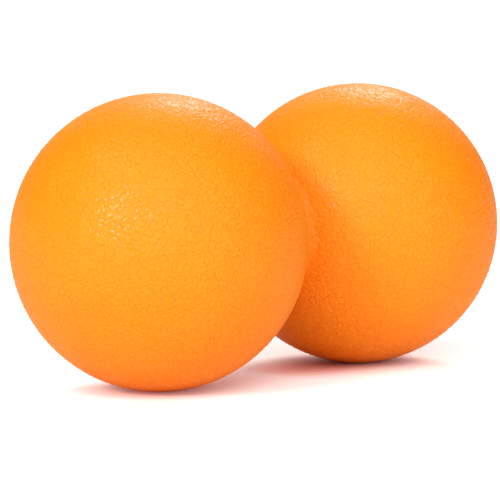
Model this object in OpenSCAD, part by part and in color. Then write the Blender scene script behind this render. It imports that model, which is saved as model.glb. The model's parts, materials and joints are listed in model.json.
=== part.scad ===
// Peanut massage ball: two soft grained balls on firm cores, joined at a narrow waist.
// +X runs along the long axis and +Z is up. The origin lies on the floor, under the waist.

/* [Balls] */
// Outer diameter of each ball
ball_d = 63; // [54:0.5:90]
// Thickness of the soft skin over the core
skin_t = 6; // [3:0.5:9]
// Diameter of the patch on which each soft ball rests
rest_d = 7; // [4:0.5:12]

/* [Waist] */
// Diameter at the root of the groove between the balls
waist_d = 24; // [20:0.5:32]
// Radius of the groove's rounded root, which runs smoothly into both balls
groove_r = 3.7; // [2.5:0.1:10]
// Thickness of the bond between the two skins
bond_t = 0.3; // [0.2:0.1:1]
// Depth of the bond's rim below the root of the groove
bond_inset = 0.3; // [0.1:0.1:1]

/* [Core keys] */
// Number of rings that lock the skin to each core
key_n = 3; // [1:1:4]
// Radius of the half-round section of each ring
key_r = 1.5; // [0.5:0.1:2.5]
// Angle between neighbouring rings, seen from the middle of the core
key_step = 35; // [15:1:40]

/* [Dowel] */
// Diameter of the dowel that ties the cores together
dowel_d = 14; // [8:0.5:18]
// Depth of the socket for the dowel in each core
socket_depth = 20; // [12:0.5:26]
// Room left at the bottom of each socket for spare adhesive
socket_room = 0.8; // [0.4:0.1:2]
// Gap filled by adhesive around the dowel
glue_gap = 0.1; // [0.05:0.05:0.3]
// Length of the tapered lead at each end of the dowel
lead_l = 2; // [1:0.5:4]
// Inward step of the tapered lead
lead_step = 1.2; // [1:0.1:2]
// Number of flutes that let air and adhesive out of the sockets
flute_n = 8; // [4:1:12]
// Radius of each flute
flute_r = 0.8; // [0.4:0.1:1.1]

/* [Hidden] */
$fn = 96;

// How far a cutting shape runs past the face that it cuts
cut_past = 1;

ball_r = ball_d / 2;
core_r = ball_r - skin_t;
waist_r = waist_d / 2;
dowel_r = dowel_d / 2;
socket_r = dowel_r + glue_gap;
// The groove's root is an arc about this radius, in the plane midway between the balls
groove_axis_r = waist_r + groove_r;
// The arc touches both balls, which sets how far each ball's centre lies from that plane
ball_x = sqrt(pow(ball_r + groove_r, 2) - pow(groove_axis_r, 2));
// Height of the ball centres, with the resting patches on the floor
axis_z = sqrt(pow(ball_r, 2) - pow(rest_d / 2, 2));
// Where the waist side of each core, the bottom of its socket and the dowel's end lie along the axis
core_face_x = ball_x - core_r;
socket_end_x = core_face_x + socket_depth;
dowel_end_x = socket_end_x - socket_room;
dowel_l = 2 * dowel_end_x;

skin_colour = "darkorange";
core_colour = "dimgray";
dowel_colour = "ivory";
bond_colour = "peru";

// Turns a shape made about +Z so that it lies along the part's axis, at its height.
module along_axis() {
    translate([0, 0, axis_z]) rotate([0, 90, 0]) children();
}

// Leaves a right-hand shape as it is, or mirrors it for the left-hand ball.
module on_side(side) {
    mirror([side == "left" ? 1 : 0, 0, 0]) children();
}

// Half section of one ball with its half of the waist: radius across, distance from the waist up.
module ball_section() {
    intersection() {
        union() {
            translate([0, ball_x]) circle(ball_r);
            difference() {
                polygon([[0, 0], [groove_axis_r, 0], [0, ball_x]]);
                translate([groove_axis_r, 0]) circle(groove_r);
            }
        }
        translate([0, bond_t / 2]) square([ball_r + cut_past, ball_x + ball_r + cut_past]);
    }
}

// Half section of one core: a ball with half-round key rings, spread evenly about its widest part.
module core_section() {
    intersection() {
        translate([0, ball_x]) difference() {
            circle(core_r);
            for (i = [0 : key_n - 1])
                rotate((i - (key_n - 1) / 2) * key_step) translate([core_r, 0]) circle(key_r);
        }
        square([core_r + cut_past, ball_x + core_r + cut_past]);
    }
}

// One core as a full body, without its socket.
module core_body() {
    along_axis() rotate_extrude() core_section();
}

// The hole for the dowel, from the middle of the waist to the bottom of one socket.
module dowel_hole() {
    along_axis() cylinder(r = socket_r, h = socket_end_x);
}

// Soft grained outer layer of one ball, moulded round its core and flat where it rests.
module skin(side) {
    floor_size = 2 * (ball_x + ball_r);
    color(skin_colour) on_side(side) difference() {
        along_axis() rotate_extrude() ball_section();
        core_body();
        dowel_hole();
        translate([0, -floor_size / 2, -floor_size]) cube(floor_size);
    }
}

// Firm ball that carries the load, with a blind socket facing the waist.
module core(side) {
    color(core_colour) on_side(side) difference() {
        core_body();
        dowel_hole();
    }
}

// Fluted dowel glued into both cores, with a tapered lead at each end.
module waist_dowel() {
    end_r = dowel_r - lead_step;
    color(dowel_colour) along_axis() difference() {
        translate([0, 0, -dowel_end_x]) rotate_extrude() polygon([
            [0, 0],
            [end_r, 0],
            [dowel_r, lead_l],
            [dowel_r, dowel_l - lead_l],
            [end_r, dowel_l],
            [0, dowel_l]
        ]);
        for (i = [0 : flute_n - 1])
            rotate(i * 360 / flute_n) translate([dowel_r, 0, 0])
                cylinder(r = flute_r, h = dowel_l + 2 * cut_past, center = true);
    }
}

// Ring of cured adhesive between the two skins, a little below the root of the groove.
module waist_bond() {
    color(bond_colour) along_axis() difference() {
        cylinder(r = waist_r - bond_inset, h = bond_t, center = true);
        cylinder(r = socket_r, h = bond_t + 2 * cut_past, center = true);
    }
}

skin("left");  // left_skin
skin("right");  // right_skin
core("left");  // left_core
core("right");  // right_core
waist_dowel();
waist_bond();
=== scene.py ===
"""Looks of a peanut massage ball: two soft orange skins with a moulded leather grain, on a white floor."""

import json
import math
import random
import bmesh
import bpy
from mathutils import Matrix, Vector, kdtree, noise


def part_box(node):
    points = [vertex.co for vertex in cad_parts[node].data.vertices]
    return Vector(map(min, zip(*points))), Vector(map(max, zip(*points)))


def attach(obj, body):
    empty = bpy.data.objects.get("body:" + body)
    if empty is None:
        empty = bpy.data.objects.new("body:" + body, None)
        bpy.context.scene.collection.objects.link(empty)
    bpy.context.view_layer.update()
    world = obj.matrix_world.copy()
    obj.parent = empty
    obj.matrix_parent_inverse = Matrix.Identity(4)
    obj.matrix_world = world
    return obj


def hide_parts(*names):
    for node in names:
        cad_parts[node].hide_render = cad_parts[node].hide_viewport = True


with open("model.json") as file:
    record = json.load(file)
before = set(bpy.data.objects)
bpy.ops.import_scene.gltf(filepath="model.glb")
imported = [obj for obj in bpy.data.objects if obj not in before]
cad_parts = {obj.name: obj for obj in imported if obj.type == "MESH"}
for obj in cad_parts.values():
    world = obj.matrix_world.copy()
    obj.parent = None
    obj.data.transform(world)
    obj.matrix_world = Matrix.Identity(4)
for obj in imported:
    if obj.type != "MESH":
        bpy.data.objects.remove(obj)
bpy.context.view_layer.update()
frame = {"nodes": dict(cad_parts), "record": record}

MM = 0.001

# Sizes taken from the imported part
skin_low, skin_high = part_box("right_skin")
core_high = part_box("right_core")[1]
dowel_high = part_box("waist_dowel")[1]
mount_x = {mount["name"]: mount["pos_m"][0] for mount in frame["record"]["mounts"]}
BALL_X = mount_x["right_rest"]
BALL_R = skin_high.x - BALL_X
AXIS_Z = skin_high.z - BALL_R
NECK_X = skin_low.x
CORE_R = core_high.x - BALL_X

# Sizes that the boxes don't show, as in the part's own drawing
WAIST_R = 12 * MM
GLUE_GAP = 0.1 * MM
SOCKET_R = dowel_high.y + GLUE_GAP
KEY_R = 1.5 * MM
KEY_ANGLES = [math.radians(angle) for angle in (-35, 0, 35)]

# The groove's root is an arc that touches the ball and ends at the waist
GROOVE_R = (BALL_X ** 2 + WAIST_R ** 2 - BALL_R ** 2) / (2 * (BALL_R - WAIST_R))
GROOVE_AXIS_R = WAIST_R + GROOVE_R
ARC_START = math.atan2(BALL_X, GROOVE_AXIS_R)
ARC_END = math.asin(NECK_X / GROOVE_R)
THETA_TOUCH = math.pi / 2 + ARC_START
THETA_END = THETA_TOUCH + (ARC_START - ARC_END) * GROOVE_R / BALL_R

# The wall round the core: points along its profile, steps round the axis and width of its seam
WALL_POINTS = 60
WALL_STEPS = 64
SEAM = 0.001 * MM

# Side, seed of the grain and turn about the upright axis
SIDES = (("left", 11, math.pi), ("right", 23, 0))

# The grain: small uneven domed cells with thin cracks between them, deeper round groups of cells
CELL_COUNT = 10000
GROUP_COUNT = 1200
# How far a cell or group strays from even spacing, as a share of that spacing
SEED_JITTER = 0.9
# How closely the drawn-out places lie and how far they are drawn, on a unit sphere
WARP_SCALE = 9.0
WARP_REACH = 0.022
WARP_SHIFTS = (Vector((0.3, 0.6, 0.1)), Vector((37.2, 11.9, 5.4)), Vector((-23.7, 41.3, 17.8)))
# How far the corners of the cells are evened out, and the shortest side that is kept
ROUNDING = 0.35
SHORT_SIDE = 0.12 * MM
# Cracks, which are narrower round a cell that is small from its middle to its nearest corner
CRACK_WIDTH = 0.1 * MM
SMALL_CELL = 0.35 * MM
SMALL_CRACK_WIDTH = 0.04 * MM
FINE_DEPTH = 0.045 * MM
MAIN_DEPTH = 0.055 * MM
# Shares of the depth: a range for the cracks round groups, and a power that makes most others shallow
MAIN_SHARES = (0.6, 1.2)
FINE_POWER = 2
# Steepest side of a crack, most rise and slope of a dome, and usual and largest tilt of a cell
STEEPEST = 0.8
DOME_RISE = 0.12 * MM
DOME_SLOPE = 0.22
CELL_TILT = 0.06
MOST_TILT = 0.12


# Shape of one ball

def surface_point(theta, phi, height):
    """Point of the right-hand ball at an angle from its outer pole and a turn about the axis."""
    if theta <= THETA_TOUCH:
        along, out = math.cos(theta), math.sin(theta)
        x, radius = BALL_X + BALL_R * along, BALL_R * out
    else:
        arc = ARC_START - (theta - THETA_TOUCH) * BALL_R / GROOVE_R
        along, out = -math.sin(arc), math.cos(arc)
        x, radius = -GROOVE_R * along, GROOVE_AXIS_R - GROOVE_R * out
    x += along * height
    radius += out * height
    return Vector((x, radius * math.cos(phi), radius * math.sin(phi)))


def scattered_directions(count, rng):
    """Evenly spread unit vectors, each moved a little at random."""
    golden_turn = math.pi * (3 - math.sqrt(5))
    spacing = math.sqrt(4 * math.pi / count)
    directions = []
    for i in range(count):
        along = 1 - 2 * (i + 0.5) / count
        ring = math.sqrt(1 - along ** 2)
        turn = i * golden_turn
        shift = Vector([rng.uniform(-1, 1) for _ in range(3)]) * SEED_JITTER * spacing
        even = Vector((along, ring * math.cos(turn), ring * math.sin(turn)))
        directions.append((even + shift).normalized())
    return directions


def dual_tree():
    """Geometry nodes that turn a mesh of triangles into the cells round its corners."""
    tree = bpy.data.node_groups.new("cells_round_corners", "GeometryNodeTree")
    tree.interface.new_socket("Geometry", in_out="INPUT", socket_type="NodeSocketGeometry")
    tree.interface.new_socket("Geometry", in_out="OUTPUT", socket_type="NodeSocketGeometry")
    start = tree.nodes.new("NodeGroupInput")
    dual = tree.nodes.new("GeometryNodeDualMesh")
    end = tree.nodes.new("NodeGroupOutput")
    tree.links.new(start.outputs[0], dual.inputs[0])
    tree.links.new(dual.outputs[0], end.inputs[0])
    return tree


def drift(place):
    """How far the grain is drawn out at a place: three smooth values that are the same each run."""
    return Vector([noise.noise(place * WARP_SCALE + shift) for shift in WARP_SHIFTS]) * WARP_REACH


def cell_mesh(rng, tree):
    """Bmesh of the grain's cells on a unit sphere, open where the waist begins."""
    seeds = bmesh.new()
    for direction in scattered_directions(CELL_COUNT, rng):
        seeds.verts.new(direction)
    bmesh.ops.convex_hull(seeds, input=seeds.verts[:])
    mesh = bpy.data.meshes.new("grain_seeds")
    seeds.to_mesh(mesh)
    seeds.free()
    holder = bpy.data.objects.new("grain_seeds", mesh)
    bpy.context.scene.collection.objects.link(holder)
    holder.modifiers.new("cells", "NODES").node_group = tree
    cells = bmesh.new()
    cells.from_object(holder, bpy.context.evaluated_depsgraph_get())
    bpy.data.objects.remove(holder)
    for vert in cells.verts:
        vert.co.normalize()
        vert.co += drift(vert.co)
    bmesh.ops.smooth_vert(
        cells, verts=cells.verts[:], factor=ROUNDING, use_axis_x=True, use_axis_y=True, use_axis_z=True)
    bmesh.ops.dissolve_degenerate(cells, dist=SHORT_SIDE / BALL_R, edges=cells.edges[:])
    for vert in cells.verts:
        vert.co.normalize()
    bmesh.ops.bisect_plane(
        cells, geom=cells.verts[:] + cells.edges[:] + cells.faces[:],
        plane_co=(math.cos(THETA_END), 0, 0), plane_no=(1, 0, 0), clear_inner=True)
    return cells


def height_of(vert):
    """A vertex's height over the ball's surface, kept as its distance from the unit sphere."""
    return (vert.co.length - 1) * BALL_R


def set_height(vert, height):
    """Keeps a vertex's height over the ball's surface as its distance from the unit sphere."""
    vert.co = vert.co.normalized() * (1 + height / BALL_R)


def raise_grain(cells, rng):
    """Sinks the cracks between the cells and domes each cell."""
    # The crease attribute is the mask of the painted shade in the cracks, and of their duller roughness
    crease = cells.verts.layers.float.new("crease")
    groups = kdtree.KDTree(GROUP_COUNT)
    for i, direction in enumerate(scattered_directions(GROUP_COUNT, rng)):
        groups.insert(direction, i)
    groups.balance()
    faces = cells.faces[:]
    middle_of = {face: face.calc_center_median() for face in faces}
    group_of = {face: groups.find(middle_of[face])[1] for face in faces}
    for vert in cells.verts:
        main = len({group_of[face] for face in vert.link_faces}) > 1
        share = rng.uniform(*MAIN_SHARES) if main else rng.uniform(0, 1) ** FINE_POWER
        set_height(vert, -DOME_RISE - (MAIN_DEPTH if main else FINE_DEPTH) * share)
        vert[crease] = min(share, 1.0)
    room_of = {
        face: min((middle_of[face] - vert.co).length for vert in face.verts) * BALL_R
        for face in faces}
    small = [face for face in faces if room_of[face] < SMALL_CELL]
    large = [face for face in faces if room_of[face] >= SMALL_CELL]
    bmesh.ops.inset_individual(cells, faces=large, thickness=CRACK_WIDTH / BALL_R)
    bmesh.ops.inset_individual(cells, faces=small, thickness=SMALL_CRACK_WIDTH / BALL_R)
    rises = []
    for face in faces:
        slopes = [rng.gauss(0, CELL_TILT) for _ in range(3)]
        tilt = Vector([max(-MOST_TILT, min(slope, MOST_TILT)) for slope in slopes]) * BALL_R
        most_rise = (SMALL_CRACK_WIDTH if room_of[face] < SMALL_CELL else CRACK_WIDTH) * STEEPEST
        for vert in face.verts:
            bottom = height_of(vert)
            lean = tilt.dot(vert.co - middle_of[face])
            set_height(vert, max(bottom, min(lean - DOME_RISE, bottom + most_rise)))
            vert[crease] = 0.0
        for edge in face.edges:
            edge.smooth = False
        border = sum(height_of(vert) for vert in face.verts) / len(face.verts)
        rises.append(min(0, border + DOME_SLOPE * room_of[face]))
    tops = bmesh.ops.poke(cells, faces=faces)["verts"]
    for vert, rise in zip(tops, rises):
        set_height(vert, rise)


def inner_profile():
    """Points (along the axis, radius) from the waist through the dowel's hole and round the core."""
    first = math.pi - math.asin(SOCKET_R / CORE_R)
    points = [(NECK_X, SOCKET_R)]
    for i in range(WALL_POINTS + 1):
        theta = first * (1 - i / WALL_POINTS)
        distance = CORE_R
        for angle in KEY_ANGLES:
            off = theta - math.pi / 2 - angle
            reach = KEY_R ** 2 - (CORE_R * math.sin(off)) ** 2
            if reach > 0 and math.cos(off) > 0:
                distance = CORE_R * math.cos(off) - math.sqrt(reach)
        points.append((BALL_X + distance * math.cos(theta), distance * math.sin(theta)))
    return points


def open_edges(bm):
    """Edges at the border of a surface."""
    return [edge for edge in bm.edges if edge.is_boundary]


def add_inner_wall(bm):
    """Spins the wall round the core and joins it to the grained surface at the waist."""
    verts = [bm.verts.new((x, radius, 0)) for x, radius in inner_profile()]
    edges = [bm.edges.new(pair) for pair in zip(verts, verts[1:])]
    bmesh.ops.spin(
        bm, geom=verts + edges, cent=(0, 0, 0), axis=(1, 0, 0), angle=2 * math.pi,
        steps=WALL_STEPS, use_merge=True)
    bmesh.ops.remove_doubles(bm, verts=bm.verts[:], dist=SEAM)
    rims = open_edges(bm)
    for edge in rims:
        edge.smooth = False
    bmesh.ops.bridge_loops(bm, edges=rims)


def grained_skin(name, seed, turn, tree):
    """One ball's skin as a closed shell with its grain, resting flat on the floor."""
    rng = random.Random(seed)
    bm = cell_mesh(rng, tree)
    raise_grain(bm, rng)
    rim = {vert for edge in open_edges(bm) for vert in edge.verts}
    for vert in bm.verts:
        height = height_of(vert)
        direction = vert.co.normalized()
        theta = THETA_END if vert in rim else min(math.acos(direction.x), THETA_END)
        vert.co = surface_point(theta, math.atan2(direction.z, direction.y), height)
    add_inner_wall(bm)
    place = Matrix.Translation((0, 0, AXIS_Z)) @ Matrix.Rotation(turn, 4, "Z")
    bmesh.ops.transform(bm, matrix=place, verts=bm.verts[:])
    for vert in bm.verts:
        vert.co.z = max(vert.co.z, 0)
    for face in bm.faces:
        face.smooth = True
    bmesh.ops.recalc_face_normals(bm, faces=bm.faces[:])
    mesh = bpy.data.meshes.new(name)
    bm.to_mesh(mesh)
    bm.free()
    skin = bpy.data.objects.new(name, mesh)
    bpy.context.scene.collection.objects.link(skin)
    return skin


# Materials

# Colours of the skin's clouds and of the painted shade in its deepest cracks, and how far a crack goes
# towards that painted shade
SKIN_COLOURS = ((0.96, 0.229, 0.003, 1), (0.97, 0.245, 0.004, 1))
CRACK_SHADE_COLOUR = (0.5, 0.11, 0.002, 1)
CRACK_SHADE_SHARE = 0.68
# Textures, in waves per metre
CLOUD_SCALE = 70
WRINKLE_SCALE = 1700
CORE_SCALE = 900
DOWEL_SCALE = 160
BOND_SCALE = 240
TEXTURE_DETAIL = 2
WRINKLE_DEPTH = 0.2 * MM
# The skin is duller in its cracks and on its wrinkles
SKIN_ROUGHNESS = 0.55
CRACK_ROUGHNESS = 0.1
WRINKLE_ROUGHNESS = 0.1
SKIN_SHINE = 0.11
# The thin gloss on the skin comes and goes between two heights of the wrinkles
GLOSS_HEIGHTS = (0.35, 0.65)
GLOSS_WEIGHTS = (0.01, 0.16)
GLOSS_ROUGHNESS = 0.18
GLOSS_IOR = 1.75
# The hidden pieces' two colours, least roughness and how much of the texture adds to it
CORE_COLOURS = ((0.05, 0.05, 0.055, 1), (0.1, 0.1, 0.105, 1))
CORE_ROUGHNESS = (0.6, 0.2)
DOWEL_COLOURS = ((0.74, 0.70, 0.58, 1), (0.82, 0.78, 0.67, 1))
DOWEL_ROUGHNESS = (0.4, 0.15)
BOND_COLOURS = ((0.55, 0.16, 0.02, 1), (0.68, 0.22, 0.04, 1))
BOND_ROUGHNESS = (0.5, 0.15)
PLAIN_SHINE = 0.5
BOND_SHINE = 0.1


class Value:
    """A number in a shader: arithmetic on it adds Math nodes."""

    def __init__(self, shader, socket):
        self.shader = shader
        self.socket = socket

    def __add__(self, other):
        return self.shader.calc("ADD", self, other)

    def __radd__(self, other):
        return self.shader.calc("ADD", other, self)

    def __sub__(self, other):
        return self.shader.calc("SUBTRACT", self, other)

    def __rsub__(self, other):
        return self.shader.calc("SUBTRACT", other, self)

    def __mul__(self, other):
        return self.shader.calc("MULTIPLY", self, other)

    def __rmul__(self, other):
        return self.shader.calc("MULTIPLY", other, self)


class Shader:
    """A material or world whose nodes are made one by one and linked by their sockets."""

    def __init__(self, owner):
        owner.use_nodes = True
        self.tree = owner.node_tree
        self.tree.nodes.clear()

    def node(self, kind, settings, sockets, output=0):
        """Adds a node, sets its settings, then its sockets, and returns one of its outputs."""
        made = self.tree.nodes.new("ShaderNode" + kind)
        for setting, value in settings.items():
            setattr(made, setting, value)
        for socket, value in sockets.items():
            if isinstance(value, Value):
                self.tree.links.new(value.socket, made.inputs[socket])
            else:
                made.inputs[socket].default_value = value
        return Value(self, made.outputs[output]) if made.outputs else None

    def calc(self, operation, *values):
        """The result of one operation on numbers."""
        return self.node("Math", {"operation": operation}, dict(enumerate(values)))

    def texture(self, scale):
        """Soft noise that is fixed to the piece."""
        place = self.node("TexCoord", {}, {}, output="Object")
        return self.node("TexNoise", {}, {"Vector": place, "Scale": scale, "Detail": TEXTURE_DETAIL})

    def mix(self, share, first, second):
        """Colour between two colours."""
        return self.node(
            "Mix", {"data_type": "RGBA"}, {0: share, 6: first, 7: second}, output=2)

    def smooth_step(self, value, start_end, low_high):
        """A smooth rise from one level to another between two values."""
        return self.node(
            "MapRange", {"interpolation_type": "SMOOTHSTEP"},
            {"Value": value, "From Min": start_end[0], "From Max": start_end[1],
             "To Min": low_high[0], "To Max": low_high[1]})

    def surface(self, sockets):
        """Ends the material with a Principled shader."""
        self.node("OutputMaterial", {}, {0: self.node("BsdfPrincipled", {}, sockets)})


def new_shader(name):
    """An empty material with its shader."""
    material = bpy.data.materials.new(name)
    return material, Shader(material)


def skin_material():
    """Soft orange rubber with a thin broken gloss: fine wrinkles, and painted shade in the creases."""
    material, shader = new_shader("orange_grained_rubber")
    # The crease mask carries the painted shade and the duller roughness in the cracks
    crease = shader.node("Attribute", {"attribute_name": "crease"}, {}, output="Fac")
    wrinkles = shader.texture(WRINKLE_SCALE)
    bright = shader.mix(shader.texture(CLOUD_SCALE), *SKIN_COLOURS)
    shader.surface({
        # The base colour darkens towards painted shade where the crease mask is high, in the cracks
        "Base Color": shader.mix(crease * CRACK_SHADE_SHARE, bright, CRACK_SHADE_COLOUR),
        "Roughness": SKIN_ROUGHNESS + crease * CRACK_ROUGHNESS + wrinkles * WRINKLE_ROUGHNESS,
        "Specular IOR Level": SKIN_SHINE,
        "Coat Weight": shader.smooth_step(wrinkles, GLOSS_HEIGHTS, GLOSS_WEIGHTS),
        "Coat Roughness": GLOSS_ROUGHNESS,
        "Coat IOR": GLOSS_IOR,
        "Normal": shader.node(
            "Bump", {}, {"Strength": 1, "Distance": WRINKLE_DEPTH, "Height": wrinkles}),
    })
    return material


def plain_material(name, scale, colours, roughness, shine):
    """A plain finish that varies a little between two colours."""
    material, shader = new_shader(name)
    flow = shader.texture(scale)
    shader.surface({
        "Base Color": shader.mix(flow, *colours),
        "Roughness": roughness[0] + flow * roughness[1],
        "Specular IOR Level": shine,
    })
    return material


def paint(node_name, material):
    """Gives a CAD node its finish."""
    mesh = frame["nodes"][node_name].data
    mesh.materials.clear()
    mesh.materials.append(material)


# Pieces

cells_tree = dual_tree()
orange = skin_material()
dark = plain_material("dark_core_rubber", CORE_SCALE, CORE_COLOURS, CORE_ROUGHNESS, PLAIN_SHINE)
ivory = plain_material("ivory_dowel_plastic", DOWEL_SCALE, DOWEL_COLOURS, DOWEL_ROUGHNESS, PLAIN_SHINE)
amber = plain_material("amber_bond", BOND_SCALE, BOND_COLOURS, BOND_ROUGHNESS, BOND_SHINE)
for side, seed, turn in SIDES:
    skin = grained_skin(side + "_grained_skin", seed, turn, cells_tree)
    skin.data.materials.append(orange)
    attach(skin, "root")
    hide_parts(side + "_skin")
    paint(side + "_core", dark)
paint("waist_dowel", ivory)
paint("waist_bond", amber)


# Floor, light and camera

FLOOR_SIZE = 40.0
# Painted light on the floor, a white glow that lights nothing and lightens the balls' shadow: under the
# left and right ball, at its most and far away
NEAR_LIFTS = (0.25, 0.0)
MOST_LIFT = 0.38
FAR_LIFT = 0.26
MOST_LIFT_AT = 0.02
FAR_LIFT_AT = 0.07
# How fast that painted light grows from each ball towards the other one
BETWEEN_SHARES = (0.65, 0.15)
# Colours of the paper and of its painted light, in the shade of the balls and away from them: near the
# balls a painted orange-pink shade on the paper and a painted red light
PAPER_AND_PAINTED_SHADE_COLOURS = ((0.82, 0.42, 0.36, 1), (0.9, 0.9, 0.9, 1))
LIFT_COLOURS = ((1, 0.28, 0.2, 1), (1, 1, 1, 1))
# Heights of a direction between which the white horizon fades
HORIZON_WHITE = (0.09, 0.13)
# Soft boxes and backdrop: degrees round from the camera, degrees up and strength
SOFT_BOXES = ((-23, 15, 1.68), (36, 15, 1.52), (0, 55, 1.4))
BACKDROP = (180, 10, 1)
# Cosines of the angles at which they begin and are at full strength
SOFT_BOX_EDGES = (0.7, 0.95)
BACKDROP_EDGES = (0.8, 0.9)
# Lamps: name, degrees round from the camera, degrees up, strength and width in degrees
LAMPS = (("key", -34, 26, 1.35, 12), ("top", -75, 58, 0.43, 24), ("back", 172, 38, 1.7, 20))
# The camera's place in degrees and metres, its aim in degrees and its lens in pixels
CAMERA_AZIMUTH = -46.75
CAMERA_ELEVATION = 5.30
CAMERA_DISTANCE = 21.52 * BALL_R
CAMERA_YAW = 0.210
CAMERA_PITCH = 0.342
FOCAL_PIXELS = 3112
IMAGE_PIXELS = 500
SENSOR_WIDTH = 36
NEAREST_SEEN = 0.01
FARTHEST_SEEN = 100


def view_back(azimuth, elevation):
    """Unit vector from the part towards a camera at these angles, in degrees."""
    turn, rise = math.radians(azimuth), math.radians(elevation)
    return Vector((
        math.sin(turn) * math.cos(rise),
        -math.cos(turn) * math.cos(rise),
        math.sin(rise)))


def seen_rays(shader):
    """1 for the rays by which the camera, gloss and glass see a surface, and 0 for light on the part."""
    names = ("Is Camera Ray", "Is Glossy Ray", "Is Transmission Ray")
    return sum(shader.node("LightPath", {}, {}, output=name) for name in names)


def white_floor():
    """A wide white floor that keeps the part's shadow, with a painted orange-pink shade on the paper and
    painted light that lightens that shadow.
    """
    bm = bmesh.new()
    bmesh.ops.create_grid(bm, x_segments=1, y_segments=1, size=FLOOR_SIZE / 2)
    mesh = bpy.data.meshes.new("floor")
    bm.to_mesh(mesh)
    bm.free()
    floor = bpy.data.objects.new("floor", mesh)
    bpy.context.scene.collection.objects.link(floor)
    material, shader = new_shader("white_floor")
    place = shader.node("TexCoord", {}, {}, output="Object")
    along = shader.node("SeparateXYZ", {}, {0: place}, output="X")
    across = shader.node("SeparateXYZ", {}, {0: place}, output="Y")
    # The distance from the contacts shapes the painted light and the painted shade round the balls' shadow
    past = shader.calc("ABSOLUTE", along) - BALL_X
    between = shader.smooth_step(along, (-BALL_X, BALL_X), BETWEEN_SHARES)
    past = shader.calc("MAXIMUM", past, 0 - past * between)
    away = shader.calc("SQRT", past * past + across * across)
    # Painted light at each contact, none under the right ball so that its contact shadow stays darker
    near = shader.smooth_step(along, (-BALL_X, BALL_X), NEAR_LIFTS)
    rise = shader.smooth_step(away, (0, MOST_LIFT_AT), (near, MOST_LIFT))
    fall = shader.smooth_step(away, (MOST_LIFT_AT, FAR_LIFT_AT), (0, MOST_LIFT - FAR_LIFT))
    # Share of plain paper and white light: near the contacts the paper takes a painted orange-pink shade
    # and the glow a painted red light
    tint = shader.smooth_step(away, (0, MOST_LIFT_AT), (0, 1))
    paper = shader.node("BsdfDiffuse", {}, {"Color": shader.mix(tint, *PAPER_AND_PAINTED_SHADE_COLOURS)})
    # A glow seen only by camera and gloss: painted light that lightens the floor and the balls' shadow
    lift = shader.node("Emission", {}, {
        "Color": shader.mix(tint, *LIFT_COLOURS),
        "Strength": seen_rays(shader) * (rise - fall),
    })
    shader.node("OutputMaterial", {}, {0: shader.node("AddShader", {}, {0: paper, 1: lift})})
    mesh.materials.append(material)


def glow(shader, direction, box, edges):
    """A wide soft light in the world, between the edges' cosines."""
    turn, rise, strength = box
    facing = shader.node(
        "VectorMath", {"operation": "DOT_PRODUCT"},
        {0: direction, 1: view_back(CAMERA_AZIMUTH + turn, rise)}, output="Value")
    return shader.smooth_step(facing, edges, (0, strength))


def studio_world():
    """Soft boxes at both sides of the camera and above it, with a white horizon and backdrop."""
    world = bpy.data.worlds.new("soft_studio")
    bpy.context.scene.world = world
    shader = Shader(world)
    direction = shader.node("TexCoord", {}, {}, output="Generated")
    light = sum(glow(shader, direction, box, SOFT_BOX_EDGES) for box in SOFT_BOXES)
    up = shader.node("SeparateXYZ", {}, {0: direction}, output="Z")
    horizon = shader.node(
        "MapRange", {}, {"Value": up, "From Min": HORIZON_WHITE[0], "From Max": HORIZON_WHITE[1],
                         "To Min": 1, "To Max": 0})
    white = shader.calc("MAXIMUM", horizon, glow(shader, direction, BACKDROP, BACKDROP_EDGES))
    sky = shader.node(
        "Background", {}, {"Color": (1, 1, 1, 1), "Strength": light + white * seen_rays(shader)})
    shader.node("OutputWorld", {}, {0: sky})


def soft_lamp(name, turn, rise, strength, width):
    """A lamp far away in one direction, as wide as a soft box."""
    data = bpy.data.lights.new(name, "SUN")
    data.energy = strength
    data.angle = math.radians(width)
    lamp = bpy.data.objects.new(name, data)
    shining = -view_back(CAMERA_AZIMUTH + turn, rise)
    lamp.rotation_euler = shining.to_track_quat("-Z", "Y").to_euler()
    bpy.context.scene.collection.objects.link(lamp)


def photo_camera():
    """The photograph's camera: a long lens just above the floor."""
    data = bpy.data.cameras.new("camera")
    data.sensor_width = SENSOR_WIDTH
    data.lens = SENSOR_WIDTH * FOCAL_PIXELS / IMAGE_PIXELS
    data.clip_start = NEAREST_SEEN
    data.clip_end = FARTHEST_SEEN
    camera = bpy.data.objects.new("camera", data)
    back = view_back(CAMERA_AZIMUTH, CAMERA_ELEVATION)
    camera.location = Vector((0, 0, BALL_R)) + back * CAMERA_DISTANCE
    aim = -view_back(CAMERA_AZIMUTH + CAMERA_YAW, CAMERA_ELEVATION + CAMERA_PITCH)
    camera.rotation_euler = aim.to_track_quat("-Z", "Y").to_euler()
    bpy.context.scene.collection.objects.link(camera)
    bpy.context.scene.camera = camera


white_floor()
studio_world()
for lamp in LAMPS:
    soft_lamp(*lamp)
photo_camera()
bpy.context.scene.view_settings.view_transform = "Standard"
